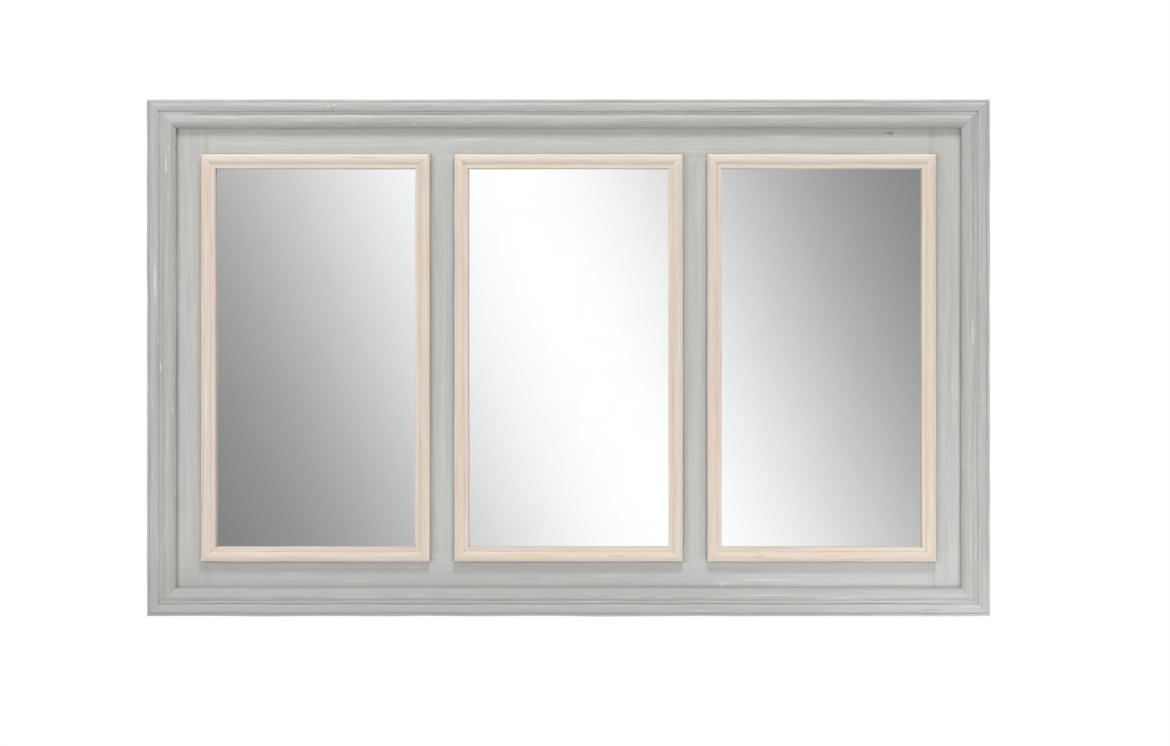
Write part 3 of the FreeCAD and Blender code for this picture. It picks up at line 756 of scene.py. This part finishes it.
def pressed_felt(name, colours):
    """Pressed wool felt. The eye gets a dark matt nap with paler stray fibres."""
    material, tree, place = new_material(name)
    nap = add(tree, "TexNoise", {"Vector": place, "Scale": 1 / (1.1 * MM), "Detail": 5.0, "Roughness": 0.75,
                                 "Distortion": 1.2})
    pale = add(tree, "MapRange", (nap, 0.45, 0.7))
    base = coated(tree, colours.felt, (colours.felt_fibre, pale))
    close_material(tree, base, (nap, 0, 1, 0.85, 1.0), nap, relief_mm=0.3, strength=0.9,
                   Sheen_Weight=0.4, Sheen_Roughness=0.6)
    return material


def dress(material, *nodes):
    """Gives CAD nodes a finish through their objects' own slots."""
    for node in nodes:
        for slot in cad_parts[node].material_slots:
            slot.link = "OBJECT"
            slot.material = material


class MIRROR_OT_outer_mouldings(Operator):
    """Builds the four mitred outer mouldings with their washed finish"""

    bl_idname = "mirror.outer_mouldings"
    bl_label = "Outer Mouldings"

    def execute(self, context):
        scene = context.scene
        sizes = scene.mirror_moulding
        gap_to_field = 0.05 * MM
        # The upright copy takes more of the shade tone than the level one: painted shade on the side
        # mouldings
        materials = [washed_pine("washed_pine_moulding_" + way, scene.mirror_paint, way == "upright",
                                 contrast=1.3, shade_cover=shade_cover, back_y=TOP_HIGH.y, sight=sight,
                                 pale_marks=PALE_MARKS_ON_MOULDINGS, dark_marks_and_shade=DARK_MARKS_AND_SHADE_ON_MOULDINGS)
                     for way, sight, shade_cover in (("level", TOP_LOW.z, 0.4), ("upright", SIGHT_X, 0.88))]
        add_bars("outer_{}_moulding", "washed", (TOP_HIGH.x, TOP_HIGH.z, 0), TOP_HIGH.y - gap_to_field,
                 section_points(moulding_outline(sizes), sizes), sizes, sizes.sight_height, materials,
                 (scene.mirror_studio.seed,))
        return {"FINISHED"}


class MIRROR_OT_pane_beads(Operator):
    """Builds the twelve mitred beads round the panes with their limed finish"""

    bl_idname = "mirror.pane_beads"
    bl_label = "Pane Beads"

    def execute(self, context):
        scene = context.scene
        sizes = scene.mirror_bead
        section = section_points(bead_outline(sizes), sizes)
        materials = (limed_pine("limed_pine_level", scene.mirror_limed, False),
                     limed_pine("limed_pine_upright", scene.mirror_limed, True))
        for place, pane in enumerate(PANES):
            low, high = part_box(pane + "_pane_top_bead")
            rectangle = ((high.x - low.x) / 2, high.z, (high.x + low.x) / 2)
            add_bars(pane + "_pane_{}_bead", "limed", rectangle, high.y, section, sizes, sizes.groove_height,
                     materials, (scene.mirror_studio.seed, place))
        return {"FINISHED"}


class MIRROR_OT_field_boards(Operator):
    """Finishes the stiles, rails and muntins of the field"""

    bl_idname = "mirror.field_boards"
    bl_label = "Field Boards"

    def execute(self, context):
        paint = context.scene.mirror_paint
        dress(washed_pine("washed_pine_field_upright", paint, True, contrast=1.1, shade_cover=0.3,
                          back_y=FIELD_BACK_Y),
              "field_left_stile", "field_right_stile", "field_left_muntin", "field_right_muntin")
        dress(washed_pine("washed_pine_field_level", paint, False, contrast=0.75, shade_cover=0.06,
                          back_y=FIELD_BACK_Y, pale_marks=PALE_MARKS_ON_RAILS,
                          dark_marks_and_shade=DARK_MARKS_ON_RAILS),
              "field_top_rail", "field_bottom_rail")
        return {"FINISHED"}


class MIRROR_OT_mirror_glasses(Operator):
    """Silvers the three mirror glasses"""

    bl_idname = "mirror.mirror_glasses"
    bl_label = "Mirror Glasses"

    def execute(self, context):
        dress(silvered_glass("silvered_float_glass", context.scene.mirror_hidden),
              *(pane + "_mirror_glass" for pane in PANES))
        return {"FINISHED"}


class MIRROR_OT_backing_boards(Operator):
    """Finishes the hardboard behind the glasses"""

    bl_idname = "mirror.backing_boards"
    bl_label = "Backing Boards"

    def execute(self, context):
        dress(pressed_hardboard("pressed_hardboard", context.scene.mirror_hidden),
              *(pane + "_backing_board" for pane in PANES))
        return {"FINISHED"}


class MIRROR_OT_hardware(Operator):
    """Finishes hangers, screws, nails, points and dowels"""

    bl_idname = "mirror.hardware"
    bl_label = "Hangers and Fasteners"

    def execute(self, context):
        colours = context.scene.mirror_hidden
        dress(bright_zinc("bright_zinc_plate", colours), "left_hanger_strap", "right_hanger_strap",
              "left_hanger_ring", "right_hanger_ring", "hanger_screws", "field_screws", "corner_nails",
              "glazing_points")
        dress(beech_dowel("beech_dowel_stock", colours), "field_dowels")
        return {"FINISHED"}


class MIRROR_OT_wall_pads(Operator):
    """Finishes the felt pads on the back"""

    bl_idname = "mirror.wall_pads"
    bl_label = "Wall Pads"

    def execute(self, context):
        dress(pressed_felt("pressed_wool_felt", context.scene.mirror_hidden), "wall_pads")
        return {"FINISHED"}


def add_camera(scene, studio):
    """The photograph's view: level, square to the mirror, from a little right of its middle.
    A pixel at the front is the mirror's width over its pixels, and the shift is what the camera's
    own place leaves of where the mirror's middle shows."""
    pixel = 2 * TOP_HIGH.x / MIRROR_WIDTH_PX
    lip_y = TOP_HIGH.y - scene.mirror_moulding.lip_height
    camera = bpy.data.cameras.new("photograph_view")
    camera.lens = camera.sensor_width * (studio.camera_distance + lip_y) / (IMAGE_WIDTH_PX * pixel)
    middle_x, middle_y = MIRROR_MIDDLE_PX
    camera.shift_x = (IMAGE_WIDTH_PX / 2 - middle_x - studio.camera_x / pixel) / IMAGE_WIDTH_PX
    camera.shift_y = (middle_y - IMAGE_HEIGHT_PX / 2) / IMAGE_WIDTH_PX
    camera.dof.use_dof = False
    holder = add_object("photograph_view", camera)
    holder.location = (studio.camera_x, -studio.camera_distance, 0)
    holder.rotation_euler = (math.pi / 2, 0, 0)
    scene.camera = holder


def add_lamps(studio):
    """Soft area lamps that don't show in the panes, each with the setting of its name as its power."""
    for name, (place, target, size) in LAMPS.items():
        lamp = bpy.data.lights.new(name, "AREA")
        lamp.shape = "RECTANGLE"
        lamp.size, lamp.size_y = size
        lamp.energy = getattr(studio, name)
        holder = add_object(name, lamp)
        holder.location = place
        holder.rotation_euler = (Vector(target) - Vector(place)).to_track_quat("-Z", "Y").to_euler()
        holder.visible_glossy = False


def seen_directly(tree):
    """1 for what the camera, a gloss or glass sees of the surroundings, and 0 for light on a surface."""
    path = add(tree, "LightPath").node.outputs
    seen = add(tree, "Math", (path["Is Camera Ray"], path["Is Glossy Ray"]), "MAXIMUM")
    return add(tree, "Math", (seen, path["Is Transmission Ray"]), "MAXIMUM")


def add_world(scene, studio):
    """White surroundings where they are seen, and soft even light on the object."""
    world = bpy.data.worlds.new("white_studio")
    world.use_nodes = True
    tree = world.node_tree
    tree.nodes.clear()
    light = add(tree, "Background", {"Color": WHITE, "Strength": studio.ambient})
    white = add(tree, "Background", {"Color": WHITE, "Strength": 1.0})
    mixed = add(tree, "MixShader", (seen_directly(tree), light, white))
    add(tree, "OutputWorld", {"Surface": mixed})
    scene.world = world


def stage_sheet(name, x, y, z, material):
    """An open sheet from three arrays of a grid's coordinates, as part of the stage."""
    points = np.stack(np.broadcast_arrays(x, y, z), axis=-1)
    rows, columns = points.shape[:2]
    index = np.arange(rows * columns).reshape(rows, columns)
    quads = np.stack([index[:-1, :-1], index[1:, :-1], index[1:, 1:], index[:-1, 1:]], axis=-1)
    mesh = bpy.data.meshes.new(name)
    mesh.from_pydata(points.reshape(-1, 3).tolist(), [], quads.reshape(-1, 4).tolist())
    mesh.materials.append(material)
    sheet = add_object(name, mesh)
    return sheet


def add_floor(studio):
    """A pale matt floor that keeps the mirror's shadow and fades to white at its rim: a disc of
    points at radius r and angle a, where the white share is a smooth step of r."""
    rings, spokes, fade_end = 24, 97, 0.97 * studio.floor_radius
    material, tree, place = new_material("pale_studio_floor")
    flat = add(tree, "Mapping", {"Vector": place, "Scale": (1, 1, 0)})
    radius = add(tree, "VectorMath", (flat,), "LENGTH", "Value")
    white_share = eased_share(tree, radius, studio.floor_fade, fade_end, broken_by=seen_directly(tree))
    speck = add(tree, "TexNoise", {"Vector": place, "Scale": 1 / (25 * MM), "Detail": 3.0})
    tone = coated(tree, linear("#EDEDEB"), (linear("#F2F2F0"), speck))
    matt = add(tree, "BsdfPrincipled", {"Base Color": tone, "Roughness": 0.9})
    white = add(tree, "Emission", {"Color": WHITE, "Strength": 1.0})
    mixed = add(tree, "MixShader", (white_share, matt, white))
    add(tree, "OutputMaterial", {"Surface": mixed})
    radii = np.linspace(MM, studio.floor_radius, rings)[:, None]
    angles = np.linspace(0, 2 * math.pi, spokes)[None, :]
    stage_sheet("studio_floor", radii * np.cos(angles), radii * np.sin(angles), -studio.floor_drop, material)


def add_reflection_card(studio):
    """A curved card in front of the mirror that only glossy rays see: part of a cylinder about the
    glass. Its brightness falls from white bands to grey, low + (peak - low) exp(-(s / band) squared),
    where s is x + slope z from the nearest band, and it fades to white at its foot."""
    columns, rows, half_angle = 65, 12, 0.48 * math.pi
    material, tree, place = new_material("soft_band_card")
    axes = add(tree, "SeparateXYZ", (place,)).node.outputs
    half_period = studio.card_period / 2
    lean = add(tree, "Math", (axes[2], studio.card_slope, axes[0]), "MULTIPLY_ADD")
    moved = add(tree, "Math", (lean, studio.card_offset), "SUBTRACT")
    moved = add(tree, "Math", (moved, half_period, -half_period), "WRAP")
    squared = add(tree, "Math", (moved, moved), "MULTIPLY")
    fall = add(tree, "Math", (squared, -studio.card_band ** -2), "MULTIPLY")
    bright = add(tree, "Math", (fall,), "EXPONENT")
    level = add(tree, "Math", (bright, studio.card_peak - studio.card_low, studio.card_low),
                "MULTIPLY_ADD")
    foot = eased_share(tree, axes[2], -studio.card_foot, -studio.floor_drop)
    level = add(tree, "Mix", {0: foot, 2: level, 3: 1.0}, data_type="FLOAT")
    glow = add(tree, "Emission", {"Color": WHITE, "Strength": level})
    add(tree, "OutputMaterial", {"Surface": glow})
    material.cycles.emission_sampling = "NONE"
    angles = np.linspace(-half_angle, half_angle, columns)[None, :]
    heights = np.linspace(-studio.floor_drop, studio.card_top, rows)[:, None]
    card = stage_sheet("soft_band_card", studio.card_radius * np.sin(angles),
                       GLASS_Y - studio.card_radius * np.cos(angles), heights, material)
    card.visible_camera = card.visible_diffuse = card.visible_shadow = False


class MIRROR_OT_studio(Operator):
    """Sets up the camera, lamps, surroundings, floor and reflection card"""

    bl_idname = "mirror.studio"
    bl_label = "Studio"

    def execute(self, context):
        scene = context.scene
        studio = scene.mirror_studio
        add_camera(scene, studio)
        add_lamps(studio)
        add_world(scene, studio)
        add_floor(studio)
        add_reflection_card(studio)
        scene.view_settings.view_transform = "Standard"
        return {"FINISHED"}


class VIEW3D_PT_wall_mirror(Panel):
    """Sizes, colours and steps of the wall mirror"""

    bl_label = "Wall Mirror"
    bl_space_type = "VIEW_3D"
    bl_region_type = "UI"
    bl_category = "Mirror"

    def draw(self, context):
        for operator in OPERATORS:
            self.layout.operator(operator.bl_idname)
        for name, group in SETTINGS.items():
            box = self.layout.box()
            box.label(text=group.__doc__)
            for key in group.__annotations__:
                box.prop(getattr(context.scene, name), key)


SETTINGS = {
    "mirror_moulding": MouldingSizes,
    "mirror_bead": BeadSizes,
    "mirror_paint": WashedPaint,
    "mirror_limed": LimedPine,
    "mirror_hidden": HiddenParts,
    "mirror_studio": StudioSettings,
}
OPERATORS = (MIRROR_OT_outer_mouldings, MIRROR_OT_pane_beads, MIRROR_OT_field_boards,
             MIRROR_OT_mirror_glasses, MIRROR_OT_backing_boards, MIRROR_OT_hardware, MIRROR_OT_wall_pads,
             MIRROR_OT_studio)


def register():
    for group in (*SETTINGS.values(), *OPERATORS, VIEW3D_PT_wall_mirror):
        bpy.utils.register_class(group)
    for name, group in SETTINGS.items():
        setattr(bpy.types.Scene, name, PointerProperty(type=group))


def unregister():
    for name in SETTINGS:
        delattr(bpy.types.Scene, name)
    for group in (VIEW3D_PT_wall_mirror, *reversed(OPERATORS), *reversed(SETTINGS.values())):
        bpy.utils.unregister_class(group)


def main():
    register()
    bpy.ops.mirror.outer_mouldings()
    bpy.ops.mirror.pane_beads()
    bpy.ops.mirror.field_boards()
    bpy.ops.mirror.mirror_glasses()
    bpy.ops.mirror.backing_boards()
    bpy.ops.mirror.hardware()
    bpy.ops.mirror.wall_pads()
    bpy.ops.mirror.studio()


if __name__ == "__main__":
    main()
